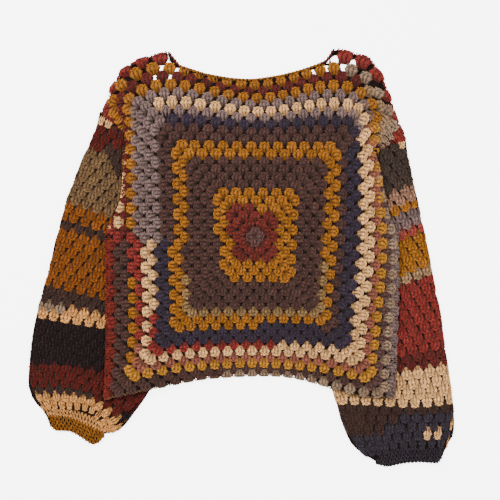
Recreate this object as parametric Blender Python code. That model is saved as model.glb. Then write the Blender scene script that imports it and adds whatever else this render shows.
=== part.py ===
# A crochet granny-square sweater laid out flat, arms down, as it lies on a table.
# Metres, +Z up, +Y towards the neck. The wearer's left arm is at +X.
# The tables below are in centimetres from the middle of the front's granny square.

import math
from collections import namedtuple

import bmesh
import bpy
import numpy as np
from mathutils import Vector
from mathutils.geometry import delaunay_2d_cdt

CM = 0.01

# Driving dimensions
YARN_WALL = 0.0035  # thickness of one layer of worsted double crochet
LAYER_GAP = 0.0003  # between two layers that lie on each other
SEAM_GAP = 0.0004  # between two pieces that meet edge to edge
NECK_EDGE_WIDTH = 0.0070  # single crochet round the neck opening
NECK_EDGE_END = 0.0045  # the same edging where it runs up to the shoulders
NECK_TAPER = 0.12  # share of the neckline over which the edging narrows at each end
LIFT_RUN = 0.040  # the body comes down from the sleeve tucked under it in this distance
SLEEVE_PUFF = 0.0045  # how far the balloon sleeve's upper layer stands off the lower one
PUFF_EDGE = 0.045  # the puff grows from nothing at the sleeve's edge over this distance
PUFF_START = 0.03  # height on the garment where the puff begins
PUFF_FULL = -0.17  # height on the garment where it is full
GATHER_HEIGHT = 0.0022  # gathers where the sleeve is drawn into its cuff
GATHER_REACH = 0.075
GATHER_EDGE = 0.020  # the gathers fade out this close to the sleeve's edge
GATHER_COUNT = 3
CREASE_MARGIN = 0.004  # the body stays level this far past the tucked sleeve's edge

# How finely the cloth is faceted
OUTLINE_STEP = 0.016
BODY_GRID = 0.026
BODY_FINE_REACH = 0.060  # past this distance from a crease the grid is twice as coarse
SLEEVE_GRID = 0.012
SLEEVE_FINE_REACH = 0.080  # past this distance from the cuff the grid is twice as coarse
EDGE_CLEAR = 0.45  # grid points keep this share of the grid off every outline

# Base colours of the yarns, linear
MUSTARD = (0.55, 0.26, 0.022)
BROWN = (0.098, 0.058, 0.054)
NAVY = (0.045, 0.034, 0.06)
RED = (0.376, 0.045, 0.026)

Spot = namedtuple("Spot", "x y")
Gap = namedtuple("Gap", "x y width height turn")

# The front neckline, from one shoulder's peak to the other's, measured on its outer edge
NECKLINE = [
    Spot(-15.0, 32.5),
    Spot(-14.4, 31.7),
    Spot(-13.1, 30.1),
    Spot(-11.2, 29.5),
    Spot(-8.7, 28.7),
    Spot(-4.2, 27.9),
    Spot(-0.4, 27.7),
    Spot(4.4, 28.4),
    Spot(7.9, 29.3),
    Spot(10.6, 30.2),
    Spot(12.2, 30.9),
    Spot(12.9, 31.8),
    Spot(13.6, 33.0),
]

# Shoulder lines, from the neck out to where the sleeve is joined on
SHOULDER_RIGHT = [
    Spot(-15.5, 32.6),
    Spot(-18.2, 31.7),
    Spot(-20.6, 31.1),
    Spot(-22.1, 30.1),
    Spot(-23.5, 29.2),
    Spot(-24.2, 27.7),
    Spot(-25.3, 26.2),
    Spot(-25.8, 24.0),
    Spot(-27.0, 21.6),
]
SHOULDER_LEFT = [
    Spot(13.9, 33.1),
    Spot(15.2, 32.9),
    Spot(17.5, 32.2),
    Spot(19.4, 31.7),
    Spot(20.5, 31.0),
    Spot(22.2, 28.6),
    Spot(23.0, 26.6),
    Spot(24.0, 23.6),
    Spot(24.8, 20.8),
    Spot(26.0, 18.2),
    Spot(26.1, 16.9),
]

# Body sides, from the end of the armhole seam down to the hem's corner
SIDE_RIGHT = [
    Spot(-22.8, 18.7),
    Spot(-22.4, 16.6),
    Spot(-22.8, 13.5),
    Spot(-23.2, 7.7),
    Spot(-24.0, 4.9),
    Spot(-24.9, 2.7),
    Spot(-25.8, 1.5),
    Spot(-26.3, 0.2),
    Spot(-26.2, -7.5),
    Spot(-26.1, -16.3),
    Spot(-26.3, -21.8),
    Spot(-26.4, -28.5),
]
SIDE_LEFT = [
    Spot(20.8, 15.6),
    Spot(21.2, 13.5),
    Spot(22.0, 10.0),
    Spot(22.6, 7.2),
    Spot(23.3, 4.0),
    Spot(24.2, 1.9),
    Spot(24.9, 0.4),
    Spot(25.1, -7.5),
    Spot(24.9, -16.3),
    Spot(24.9, -22.4),
    Spot(24.6, -25.9),
    Spot(24.1, -28.2),
]
HEM = [
    Spot(-26.4, -28.5),
    Spot(-23.6, -27.9),
    Spot(-18.2, -26.7),
    Spot(-14.2, -25.9),
    Spot(-8.5, -24.8),
    Spot(0.0, -24.3),
    Spot(4.9, -24.4),
    Spot(8.8, -25.1),
    Spot(13.1, -26.5),
    Spot(18.2, -28.0),
    Spot(21.4, -28.3),
    Spot(24.1, -28.2),
]

# Sleeve edges from the armhole down to the cuff: outer is away from the body, inner is
# mostly tucked under the body's side and comes out again below the hem
SLEEVE_RIGHT_OUTER = [
    Spot(-27.03, 21.55),
    Spot(-27.8, 19.4),
    Spot(-29.1, 16.0),
    Spot(-30.2, 14.1),
    Spot(-31.8, 9.6),
    Spot(-33.3, 5.6),
    Spot(-34.1, 2.0),
    Spot(-35.0, -0.5),
    Spot(-36.0, -5.2),
    Spot(-37.5, -10.7),
    Spot(-38.7, -15.4),
    Spot(-39.3, -20.0),
    Spot(-39.7, -26.1),
    Spot(-38.2, -29.3),
    Spot(-36.2, -31.1),
]
SLEEVE_RIGHT_INNER = [
    Spot(-22.83, 18.65),
    Spot(-22.7, 15.2),
    Spot(-22.1, 10.9),
    Spot(-21.4, 5.6),
    Spot(-20.7, -0.5),
    Spot(-19.6, -9.3),
    Spot(-18.6, -18.0),
    Spot(-18.0, -24.2),
    Spot(-18.4, -27.0),
    Spot(-20.8, -30.5),
    Spot(-22.7, -33.0),
    Spot(-23.7, -33.9),
    Spot(-25.2, -34.3),
    Spot(-26.4, -34.1),
]
SLEEVE_LEFT_OUTER = [
    Spot(26.11, 16.85),
    Spot(27.2, 12.3),
    Spot(27.9, 8.9),
    Spot(28.6, 6.3),
    Spot(29.1, 3.1),
    Spot(29.9, -0.5),
    Spot(31.2, -7.4),
    Spot(32.4, -13.3),
    Spot(32.9, -17.2),
    Spot(34.4, -27.5),
    Spot(34.9, -31.9),
    Spot(34.6, -34.9),
    Spot(33.1, -36.8),
]
SLEEVE_LEFT_INNER = [
    Spot(20.81, 15.55),
    Spot(21.5, 13.2),
    Spot(21.6, 7.0),
    Spot(21.2, 2.5),
    Spot(20.2, -3.0),
    Spot(18.4, -8.5),
    Spot(16.3, -14.0),
    Spot(14.5, -19.6),
    Spot(13.3, -24.3),
    Spot(13.2, -26.5),
    Spot(14.4, -29.4),
    Spot(15.2, -32.9),
    Spot(16.6, -36.0),
    Spot(17.5, -37.0),
    Spot(19.8, -38.6),
    Spot(21.3, -39.0),
]

# Where the sleeve is gathered into the cuff, outer end first, and the cuff's free edge
CUFF_JOIN_RIGHT = [
    Spot(-36.2, -31.1),
    Spot(-32.4, -31.4),
    Spot(-29.6, -32.6),
    Spot(-26.4, -34.1),
]
CUFF_EDGE_RIGHT = [
    Spot(-35.9, -33.0),
    Spot(-34.9, -33.9),
    Spot(-32.4, -34.0),
    Spot(-31.0, -34.7),
    Spot(-28.4, -36.4),
    Spot(-27.2, -36.0),
    Spot(-26.3, -34.9),
]
CUFF_JOIN_LEFT = [
    Spot(33.1, -36.8),
    Spot(28.9, -36.8),
    Spot(24.5, -36.9),
    Spot(22.2, -37.8),
    Spot(21.3, -39.0),
]
CUFF_EDGE_LEFT = [
    Spot(32.7, -38.6),
    Spot(32.0, -39.6),
    Spot(28.7, -39.4),
    Spot(26.0, -39.6),
    Spot(23.2, -40.2),
    Spot(22.0, -40.0),
    Spot(21.4, -39.5),
]

# See-through gaps between the clusters of the last rounds, at the shoulders and neck.
# Sizes are in centimetres and turn is in degrees.
SHOULDER_GAPS = [
    Gap(-15.2, 31.1, 0.9, 1.1, 20),
    Gap(-17.7, 30.9, 1.4, 0.9, 15),
    Gap(-21.0, 29.8, 1.4, 1.0, 25),
    Gap(-23.5, 27.8, 0.5, 1.0, -20),
    Gap(-24.0, 25.4, 0.7, 0.8, 20),
    Gap(-23.8, 23.1, 0.7, 0.6, 40),
    Gap(-16.2, 29.6, 0.7, 0.6, 5),
    Gap(-13.6, 29.0, 0.6, 0.5, 0),
    Gap(-19.3, 29.3, 0.6, 0.6, 20),
    Gap(-17.4, 27.8, 0.6, 0.5, 10),
    Gap(-14.8, 27.8, 0.6, 0.5, 0),
    Gap(-20.2, 27.2, 0.6, 0.5, 25),
    Gap(14.1, 31.5, 1.2, 1.5, -12),
    Gap(17.4, 30.9, 1.4, 1.1, -20),
    Gap(20.3, 29.1, 0.8, 2.0, 8),
    Gap(22.2, 26.3, 0.5, 1.5, 8),
    Gap(23.6, 22.5, 0.5, 1.2, -5),
    Gap(12.6, 29.6, 0.9, 0.8, 10),
    Gap(15.5, 29.8, 0.7, 0.8, -5),
    Gap(10.1, 28.7, 0.6, 0.5, 10),
    Gap(18.5, 28.5, 0.6, 0.6, -35),
    Gap(18.9, 26.5, 0.6, 0.6, -45),
    Gap(14.1, 28.2, 0.6, 0.5, 0),
]


def smooth_step(share):
    # 0 below nothing, 1 above one, and an even curve between
    share = min(max(share, 0.0), 1.0)
    return share * share * (3.0 - 2.0 * share)


def metres(table):
    return [np.array((spot.x * CM, spot.y * CM)) for spot in table]


def smooth_line(table, step=OUTLINE_STEP):
    # An even line of points on a rounded curve through the table's spots
    spots = metres(table)
    spots = [2 * spots[0] - spots[1]] + spots + [2 * spots[-1] - spots[-2]]
    line = []
    for a, b, c, d in zip(spots, spots[1:], spots[2:], spots[3:]):
        pieces = max(1, round(float(np.linalg.norm(c - b)) / step))
        for i in range(pieces):
            t = i / pieces
            line.append(
                0.5 * (2 * b + (c - a) * t + (2 * a - 5 * b + 4 * c - d) * t**2)
                + 0.5 * (3 * b - a - 3 * c + d) * t**3
            )
    line.append(spots[-2])
    return line


def moved_in(line, distances):
    # Each point goes to the right of the line's own direction
    out = []
    for i, point in enumerate(line):
        along = line[min(i + 1, len(line) - 1)] - line[max(i - 1, 0)]
        along /= np.linalg.norm(along)
        out.append(point + distances[i] * np.array((along[1], -along[0])))
    return out


def inside(point, loop):
    x, y = point
    odd = False
    for (ax, ay), (bx, by) in zip(loop, loop[1:] + loop[:1]):
        if (ay > y) != (by > y) and x < (bx - ax) * (y - ay) / (by - ay) + ax:
            odd = not odd
    return odd


def distance_to(point, line, closed=False):
    ends = np.array(line[1:] + line[:1]) if closed else np.array(line[1:])
    starts = np.array(line if closed else line[:-1])
    along = ends - starts
    share = ((point - starts) * along).sum(axis=1) / (along * along).sum(axis=1)
    nearest = starts + np.clip(share, 0, 1)[:, None] * along
    return float(np.linalg.norm(nearest - point, axis=1).min())


def gap_loop(gap):
    # A triangle with its corners cut off, its wide side towards the square's middle
    turn = math.radians(gap.turn)
    across = np.array((math.cos(turn), math.sin(turn))) * gap.width * CM / 2
    up = np.array((-math.sin(turn), math.cos(turn))) * gap.height * CM / 2
    middle = np.array((gap.x, gap.y)) * CM
    corners = [(-0.8, -1.0), (0.8, -1.0), (1.0, -0.55), (0.25, 1.0), (-0.25, 1.0), (-1.0, -0.55)]
    return [middle + a * across + b * up for a, b in corners]


class Sleeve:
    # One arm: its outline, and how high its upper layer lies
    def __init__(self, outer, inner, cuff_join, body):
        self.body = body
        self.cuff_join = smooth_line(cuff_join)
        inner_edge = smooth_line(inner)
        self.loop = smooth_line(outer)[:-1] + self.cuff_join[:-1] + inner_edge[::-1]
        self.tuck_from = inner[1].y * CM
        self.tucked = [point for point in inner_edge if point[1] <= self.tuck_from + SEAM_GAP]
        ends = self.cuff_join[-1] - self.cuff_join[0]
        self.cuff_length = float(np.linalg.norm(ends))
        self.cuff_axis = ends / self.cuff_length

    def is_under(self, point):
        return point[1] < self.tuck_from and inside(point, self.loop)

    def free_edge(self, point):
        # Distance to the nearest edge that holds the upper layer down
        if inside(point, self.body):
            return 0.0
        own = distance_to(point, self.loop, closed=True)
        return min(own, distance_to(point, self.body, closed=True))

    def upper_base(self, point):
        edge = self.free_edge(point)
        down = smooth_step((PUFF_START - point[1]) / (PUFF_START - PUFF_FULL))
        swell = SLEEVE_PUFF * smooth_step(edge / PUFF_EDGE) * down
        near_cuff = 1 - smooth_step(distance_to(point, self.cuff_join) / GATHER_REACH)
        along = float(np.dot(point - self.cuff_join[0], self.cuff_axis)) / self.cuff_length
        wave = 0.5 - 0.5 * math.cos(2 * math.pi * GATHER_COUNT * along)
        gather = GATHER_HEIGHT * wave * near_cuff * smooth_step(edge / GATHER_EDGE)
        return YARN_WALL + LAYER_GAP + swell + gather

    def near_cuff(self, point):
        return 1 if distance_to(point, self.cuff_join) < SLEEVE_FINE_REACH else 2


def lift_over(sleeves, point):
    # How far the body's back lies off the table, over the sleeves tucked under it
    height = 2 * (YARN_WALL + LAYER_GAP)
    most = 0.0
    for sleeve in sleeves:
        away = 0.0
        if not sleeve.is_under(point):
            away = distance_to(point, sleeve.tucked) - CREASE_MARGIN
        most = max(most, height * (1 - smooth_step(away / LIFT_RUN)))
    return most


def plan_of(outline, gaps=(), creases=(), grid=BODY_GRID, coarseness=None):
    # The cloth's plan as triangles between its outline, cut gaps, crease lines and a grid.
    # coarseness(spot) is 1 to keep every grid spot there, 2 for every second one, and so on.
    points = []
    edges = []

    def add(line, closed):
        first = len(points)
        points.extend(line)
        last = len(points) - 1
        edges.extend((i, i + 1) for i in range(first, last))
        if closed:
            edges.append((last, first))

    add(outline, True)
    for loop in gaps:
        add(loop, True)
    for line in creases:
        add(line, False)
    low = np.min(outline, axis=0)
    columns, rows = ((np.max(outline, axis=0) - low) / grid).astype(int) + 1
    clear = EDGE_CLEAR * grid
    for row in range(rows):
        for column in range(columns):
            point = low + np.array((column + 0.5, row + 0.5)) * grid
            every = coarseness(point) if coarseness else 1
            if row % every or column % every or not inside(point, outline):
                continue
            loops = [outline, *gaps]
            if any(distance_to(point, loop, True) < clear for loop in loops):
                continue
            if any(inside(point, loop) for loop in gaps):
                continue
            if any(distance_to(point, line) < clear for line in creases):
                continue
            points.append(point)
    made = delaunay_2d_cdt([Vector(point) for point in points], edges, [], 0, 1e-7)
    plan = [np.array(point) for point in made[0]]
    faces = []
    for face in made[2]:
        middle = sum(plan[i] for i in face) / 3
        if inside(middle, outline) and not any(inside(middle, loop) for loop in gaps):
            faces.append(face)
    return plan, faces


def yarn(name, colour):
    finish = bpy.data.materials.new(name + "_yarn")
    finish.use_nodes = True
    shader = finish.node_tree.nodes["Principled BSDF"]
    shader.inputs["Base Color"].default_value = (*colour, 1.0)
    shader.inputs["Roughness"].default_value = 0.9
    shader.inputs["Metallic"].default_value = 0.0
    return finish


def cloth(name, plan, base, colour, shift):
    # One closed solid: the plan at its base heights, extruded up by the wall
    points, faces = plan
    solid = bmesh.new()
    vertices = [solid.verts.new((*(point + shift), base(point))) for point in points]
    for face in faces:
        solid.faces.new([vertices[i] for i in face])
    loose = [vertex for vertex in solid.verts if not vertex.link_faces]
    bmesh.ops.delete(solid, geom=loose, context="VERTS")
    made = bmesh.ops.extrude_face_region(solid, geom=list(solid.faces), use_keep_orig=True)
    upper = [item for item in made["geom"] if isinstance(item, bmesh.types.BMVert)]
    bmesh.ops.translate(solid, verts=upper, vec=(0, 0, YARN_WALL))
    bmesh.ops.recalc_face_normals(solid, faces=solid.faces)
    mesh = bpy.data.meshes.new(name)
    solid.to_mesh(mesh)
    solid.free()
    mesh.materials.append(yarn(name, colour))
    piece = bpy.data.objects.new(name, mesh)
    bpy.context.collection.objects.link(piece)


def edging_widths(count):
    # The neck's edging is narrower where it runs up to the shoulders
    widths = []
    for i in range(count):
        from_end = min(i, count - 1 - i) / (count - 1)
        share = smooth_step(from_end / NECK_TAPER)
        widths.append(NECK_EDGE_END + (NECK_EDGE_WIDTH - NECK_EDGE_END) * share)
    return widths


def straight(a, b):
    # The points between two ends, an outline step apart
    pieces = max(1, round(float(np.linalg.norm(b - a)) / OUTLINE_STEP))
    return [a + (b - a) * i / pieces for i in range(1, pieces)]


def body_outline(neckline):
    widths = edging_widths(len(neckline))
    neck = moved_in(neckline, [width + SEAM_GAP for width in widths])
    shoulder_right = smooth_line(SHOULDER_RIGHT)
    shoulder_left = smooth_line(SHOULDER_LEFT)
    side_right = smooth_line(SIDE_RIGHT)
    side_left = smooth_line(SIDE_LEFT)
    return (
        side_right[::-1]
        + straight(side_right[0], shoulder_right[-1])
        + shoulder_right[::-1]
        + neck
        + shoulder_left
        + straight(shoulder_left[-1], side_left[0])
        + side_left[:-1]
        + smooth_line(HEM)[:0:-1]
    )


def make_cuff(side, join, edge, colour, shift):
    top = [point - np.array((0.0, SEAM_GAP)) for point in smooth_line(join)]
    bottom = smooth_line(edge)
    plan = plan_of(top[::-1] + bottom, grid=SLEEVE_GRID, coarseness=lambda point: 4)
    cloth(f"cuff_{side}_lower", plan, lambda point: 0.0, colour, shift)
    cloth(f"cuff_{side}_upper", plan, lambda point: YARN_WALL + LAYER_GAP, colour, shift)


def make():
    for item in list(bpy.data.objects):
        bpy.data.objects.remove(item, do_unlink=True)

    neckline = smooth_line(NECKLINE)
    body = body_outline(neckline)
    right = Sleeve(SLEEVE_RIGHT_OUTER, SLEEVE_RIGHT_INNER, CUFF_JOIN_RIGHT, body)
    left = Sleeve(SLEEVE_LEFT_OUTER, SLEEVE_LEFT_INNER, CUFF_JOIN_LEFT, body)
    cuff_edges = metres(CUFF_EDGE_RIGHT) + metres(CUFF_EDGE_LEFT)
    every_edge = np.array(body + right.loop + left.loop + neckline + cuff_edges)
    shift = -(every_edge.min(axis=0) + every_edge.max(axis=0)) / 2

    def lift(point):
        return lift_over((right, left), point)

    def on_back(point):
        return lift(point) + YARN_WALL + LAYER_GAP

    def near_crease(point):
        reach = min(distance_to(point, sleeve.tucked) for sleeve in (right, left))
        return 1 if reach < BODY_FINE_REACH else 2

    gaps = [gap_loop(gap) for gap in SHOULDER_GAPS]
    creases = [right.tucked, left.tucked]
    body_plan = plan_of(body, gaps, creases, BODY_GRID, near_crease)
    cloth("back", body_plan, lift, BROWN, shift)
    cloth("front", body_plan, on_back, BROWN, shift)

    inner = moved_in(neckline, edging_widths(len(neckline)))
    edge_plan = plan_of(neckline + inner[::-1])
    cloth("neck_edge_back", edge_plan, lift, MUSTARD, shift)
    cloth("neck_edge_front", edge_plan, on_back, MUSTARD, shift)

    sides = (("right", right, SIDE_RIGHT, NAVY), ("left", left, SIDE_LEFT, RED))
    for side, sleeve, side_line, colour in sides:
        lower_plan = plan_of(sleeve.loop, grid=SLEEVE_GRID, coarseness=lambda point: 5)
        cloth(f"sleeve_{side}_lower", lower_plan, lambda point: 0.0, colour, shift)
        # The body's edge is a crease in the sleeve, which only swells beyond it
        pressed = [smooth_line(HEM), smooth_line(side_line)]
        upper_plan = plan_of(sleeve.loop, (), pressed, SLEEVE_GRID, sleeve.near_cuff)
        cloth(f"sleeve_{side}_upper", upper_plan, sleeve.upper_base, colour, shift)
    make_cuff("right", CUFF_JOIN_RIGHT, CUFF_EDGE_RIGHT, MUSTARD, shift)
    make_cuff("left", CUFF_JOIN_LEFT, CUFF_EDGE_LEFT, NAVY, shift)


make()
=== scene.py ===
import math
from collections import namedtuple

import bmesh
import bpy
import numpy as np
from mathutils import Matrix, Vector
from mathutils.bvhtree import BVHTree


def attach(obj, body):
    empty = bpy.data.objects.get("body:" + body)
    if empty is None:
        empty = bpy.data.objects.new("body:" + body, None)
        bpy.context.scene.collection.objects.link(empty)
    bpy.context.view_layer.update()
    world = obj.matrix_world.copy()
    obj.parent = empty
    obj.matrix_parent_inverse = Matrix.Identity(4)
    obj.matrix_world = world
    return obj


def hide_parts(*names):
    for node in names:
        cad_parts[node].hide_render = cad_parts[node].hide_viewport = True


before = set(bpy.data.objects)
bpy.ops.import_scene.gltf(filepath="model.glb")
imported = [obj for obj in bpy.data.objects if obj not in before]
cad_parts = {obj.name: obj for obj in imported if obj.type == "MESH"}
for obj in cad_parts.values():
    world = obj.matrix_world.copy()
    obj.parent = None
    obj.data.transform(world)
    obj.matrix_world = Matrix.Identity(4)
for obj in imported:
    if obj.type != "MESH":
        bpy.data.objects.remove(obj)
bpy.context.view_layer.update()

# A crochet granny-square sweater, laid out flat. Every cluster of double crochet is a
# copy of one modelled stitch, laid on the frame's own walls, over a thin ground painted dark as shade.
# The charts are in centimetres from the middle of the front's granny square.

cm = 0.01
rng = np.random.default_rng(7)
sweater = {
    "squareMiddle": (0.0240, 0.0355),  # of the granny square, in the frame
    "wall": 0.0035,  # one layer of double crochet
    "groundWall": 0.0008,
    "groundDepth": 0.0004,  # from the wall's middle to the ground, away from the seen side
    "groundInset": 0.0040,  # the ground stops short of the yarn's scalloped edge
    "sleeveInset": 0.0012,
    "neckInset": 0.0006,
    "ledge": 0.0004,  # how far stitches may stand past the outline before they fold over it
    "ledgeGive": 0.12,  # and the share of the rest that still stands out
    "foldDrop": 0.5,  # how far they drop there for each metre past the outline, and at most
    "foldMost": 0.0025,
    "lowest": 0.00015,  # the yarn's height over the table
    "overlap": 0.0036,  # how far pieces run on to each other where they are joined
    "joinReach": 0.0065,
    "neckReach": 0.0030,
    "bandLift": 0.0004,  # the edgings lie over the cloth
    "largestGap": 0.03,
    "gapReach": 0.004,  # how near a gap's middle is to its place in seeThrough
}
flatFace = 0.5  # a face whose normal rises more than this looks up or down
steepEdge = 0.9  # an edge that climbs more than this share of its length runs through the wall

# The gaps by the neck that show the table through both panels, and how much of each is open
# in the back, from below; behind the others lies the back
seeThrough = [
    (-16.2, 29.6, 1), (-13.6, 29.0, 1), (-17.4, 27.8, 1), (-14.8, 27.8, 1), (-15.2, 31.1, 0.6),
    (12.6, 29.6, 1), (15.5, 29.8, 1), (10.1, 28.7, 1), (14.1, 31.5, 0.45), (17.4, 30.9, 0.35),
]

# Where pieces are joined: round the arms, and at the cuffs
armholeRight = [(-27.0, 21.6), (-22.8, 18.7), (-22.4, 16.6), (-22.8, 13.2)]
armholeLeft = [(26.1, 16.9), (21.0, 15.0), (21.1, 13.0), (21.9, 10.4)]
cuffTopRight = [(-36.2, -31.1), (-32.4, -31.4), (-29.6, -32.6), (-26.4, -34.1)]
cuffTopLeft = [(33.1, -36.8), (28.9, -36.8), (24.5, -36.9), (22.2, -37.8), (21.3, -39.0)]
joins = [armholeRight, armholeLeft, cuffTopRight, cuffTopLeft]
neckOuter = [
    (-15.0, 32.5), (-14.4, 31.7), (-13.1, 30.1), (-11.2, 29.5), (-8.7, 28.7), (-4.2, 27.9), (-0.4, 27.7),
    (4.4, 28.4), (7.9, 29.3), (10.6, 30.2), (12.2, 30.9), (12.9, 31.8), (13.6, 33.0),
]
neckDepth = 0.62  # centimetres from the neck's outer edge into the body
neckInner = [(x, y - neckDepth) for x, y in neckOuter]

# Yarn colours as they look under daylight, sRGB 0 to 255
yarns = {
    "greyBrown": (80, 54, 50),
    "darkRed": (96, 35, 29),
    "mustard": (143, 87, 22),
    "brown": (69, 45, 40),
    "navy": (47, 37, 50),
    "grey": (110, 88, 84),
    "cream": (212, 160, 105),
    "red": (118, 39, 34),
    "mauve": (130, 74, 58),
    "maroon": (84, 29, 26),
    "stone": (138, 108, 78),
    "taupe": (102, 76, 49),
    "taupeRose": (136, 98, 78),
    "pinkRed": (140, 58, 48),
    "charcoal": (55, 43, 37),
    "ink": (24, 10, 14),
    "ochre": (118, 62, 13),
    "brick": (106, 34, 26),
    "tan": (200, 138, 76),
    "gold": (166, 110, 31),
    "hay": (124, 95, 59),
    "ash": (131, 106, 85),
    "oxblood": (76, 20, 14),
    "deepNavy": (46, 40, 49),
    "darkBrown": (54, 35, 30),
}


def linear(rgb):
    out = []
    for value in rgb:
        share = value / 255
        out.append(share / 12.92 if share <= 0.04045 else ((share + 0.055) / 1.055) ** 2.4)
    return out


def toFrame(points):
    # Chart centimetres to metres in the frame
    return np.asarray(points, float) * cm + np.array(sweater["squareMiddle"])


def atJoin(xy, node):
    # Which places lie where this node is joined to another
    xy = np.atleast_2d(xy)
    near = np.zeros(len(xy), bool)
    lines = [(line, sweater["joinReach"]) for line in joins]
    if node in ("front", "back"):
        lines.append((neckInner, sweater["neckReach"]))
    for line, reach in lines:
        points = toFrame(line)
        near |= nearest(xy, list(zip(points, points[1:])))[1] < reach
    return near


def deselectAll():
    if bpy.context.object and bpy.context.object.mode != "OBJECT":
        bpy.ops.object.mode_set(mode="OBJECT")
    bpy.ops.object.select_all(action="DESELECT")


# One cluster: three double crochets worked in one space, narrow below and fanned out above.
# A post is two strands that cross, and a chain loop closes it on top.
clusterLook = {
    "length": 0.0205,
    "strandSides": 4,
    "strandRadius": 0.0021,
    "strandFoot": 0.75,  # a strand's foot as a share of its radius, and how it grows after it
    "strandGrowth": (1.34, 0.86),
    "footGap": 0.0025,  # from one post to the next at the foot
    "footDepth": 0.0012,
    "postGap": 0.0054,  # from one post to the next where the cluster is widest
    "strandGap": 0.0024,  # between the two strands of a post
    "bendOut": 0.90,  # places on a post: shares of postGap out and of the length up
    "bendUp": 0.55,
    "bendDepth": 0.0005,  # one strand passes over the other
    "headOut": 0.68,
    "headUp": (0.85, 0.78),  # of the middle post and of the outer ones
    "loopOut": 0.62,
    "loopUp": (0.94, 0.85),
    "loopLift": 0.0008,
    "loopLength": 0.0048,  # the chain that the tops make
    "loopWidth": 0.0041,
    "flatness": 0.72,  # the stitch is pressed a little flat
}


def growStrand(name, path, look):
    # A strand is a small ring drawn out through its places and closed at its head
    deselectAll()
    foot = path[0]
    bpy.ops.mesh.primitive_circle_add(
        vertices=look["strandSides"],
        radius=look["strandRadius"] * look["strandFoot"],
        fill_type="NGON",
        location=foot,
        rotation=(math.pi / 2, 0, 0),
    )
    strand = bpy.context.object
    strand.name = name
    bpy.ops.object.transform_apply(location=True, rotation=True, scale=True)
    bpy.ops.object.mode_set(mode="EDIT")
    bpy.ops.mesh.select_mode(type="FACE")
    bpy.ops.mesh.select_all(action="SELECT")
    for start, end, grow in zip(path, path[1:], look["strandGrowth"]):
        move = [b - a for a, b in zip(start, end)]
        bpy.ops.mesh.extrude_region_move(TRANSFORM_OT_translate={"value": move})
        bpy.ops.transform.resize(value=(grow, 1, grow), center_override=end)
    bpy.ops.mesh.select_all(action="SELECT")
    bpy.ops.mesh.normals_make_consistent(inside=False)
    bpy.ops.object.mode_set(mode="OBJECT")
    return strand


def addLoop(name, centre, turn, look):
    # One chain loop: a block drawn long, pinched at its ends and laid slantwise
    deselectAll()
    bpy.ops.mesh.primitive_cube_add(size=1, location=(0, 0, 0))
    loop = bpy.context.object
    loop.name = name
    bpy.ops.object.mode_set(mode="EDIT")
    bpy.ops.mesh.select_mode(type="FACE")
    bpy.ops.mesh.select_all(action="SELECT")
    bpy.ops.transform.resize(value=(look["loopLength"], look["loopWidth"], look["loopWidth"]))
    bpy.ops.object.mode_set(mode="OBJECT")
    for face in loop.data.polygons:
        face.select = abs(face.normal.x) > 0.9
    bpy.ops.object.mode_set(mode="EDIT")
    bpy.ops.transform.resize(value=(1, 0.66, 0.55), center_override=(0, 0, 0))
    bpy.ops.mesh.select_all(action="SELECT")
    bpy.ops.transform.rotate(value=turn, orient_axis="Z", center_override=(0, 0, 0))
    bpy.ops.transform.translate(value=centre)
    bpy.ops.object.mode_set(mode="OBJECT")
    return loop


def joined(parts, name):
    deselectAll()
    for part in parts:
        part.select_set(True)
    bpy.context.view_layer.objects.active = parts[0]
    bpy.ops.object.join()
    whole = bpy.context.object
    whole.name = name
    return whole


# Light falls off down the sides of the strands, and at the foot, which the next stitch hides
shadeLook = {"low": 0.34, "gain": 0.94, "foot": 0.55, "footLength": 0.25}


def takeStitch(piece):
    # The modelled stitch as arrays, in shares of its own width and length, then removed
    points = np.array([vertex.co for vertex in piece.data.vertices])
    faces = [list(face.vertices) for face in piece.data.polygons]
    local = points / cm
    low, high = points.min(axis=0), points.max(axis=0)
    height = (points[:, 2] - low[2]) / (high[2] - low[2])
    shade = shadeLook["low"] + shadeLook["gain"] * height
    points[:, 0] = (points[:, 0] - (low[0] + high[0]) / 2) / (high[0] - low[0])
    points[:, 1] = (points[:, 1] - low[1]) / (high[1] - low[1])
    bpy.data.objects.remove(piece, do_unlink=True)
    foot = shadeLook["foot"]
    shade *= foot + (1 - foot) * np.minimum(1, points[:, 1] / shadeLook["footLength"])
    return {"points": points, "faces": faces, "local": local, "shade": shade}


def makeCluster():
    look = clusterLook
    top, wide = look["length"], look["postGap"]
    parts = []
    for i, across in enumerate((-1, 0, 1)):
        for j, side in enumerate((-1, 1)):
            shift = side * look["strandGap"] / 2
            bend = across * wide * look["bendOut"] - shift * 0.6
            path = [
                (across * look["footGap"] + shift * 0.6, 0.0, -look["footDepth"]),
                (bend, top * look["bendUp"], look["bendDepth"] * side),
                (across * wide * look["headOut"] + shift * 0.8, top * look["headUp"][abs(across)], 0.0001),
            ]
            parts.append(growStrand(f"strand{i}{j}", path, look))
    for i, across in enumerate((-1, 0, 1)):
        centre = (across * wide * look["loopOut"], top * look["loopUp"][abs(across)], look["loopLift"])
        parts.append(addLoop(f"loop{i}", centre, -0.75 * across + 0.1, look))
    whole = joined(parts, "clusterModel")
    points = np.array([vertex.co for vertex in whole.data.vertices])
    points[:, 2] *= look["flatness"]
    whole.data.vertices.foreach_set("co", points.ravel())
    return takeStitch(whole)


# One single crochet: a short leaning pair of strands, as in the cuffs and edgings
singleLook = {
    "width": 0.0066,
    "length": 0.0062,
    "strand": 0.0040,
    "strandSides": 5,
    "reach": 1.15,  # of a strand, for each stitch length
    "taper": 0.7,
    "lean": 0.30,
    "apart": 0.24,  # of the width, from the middle to each strand
}


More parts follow.
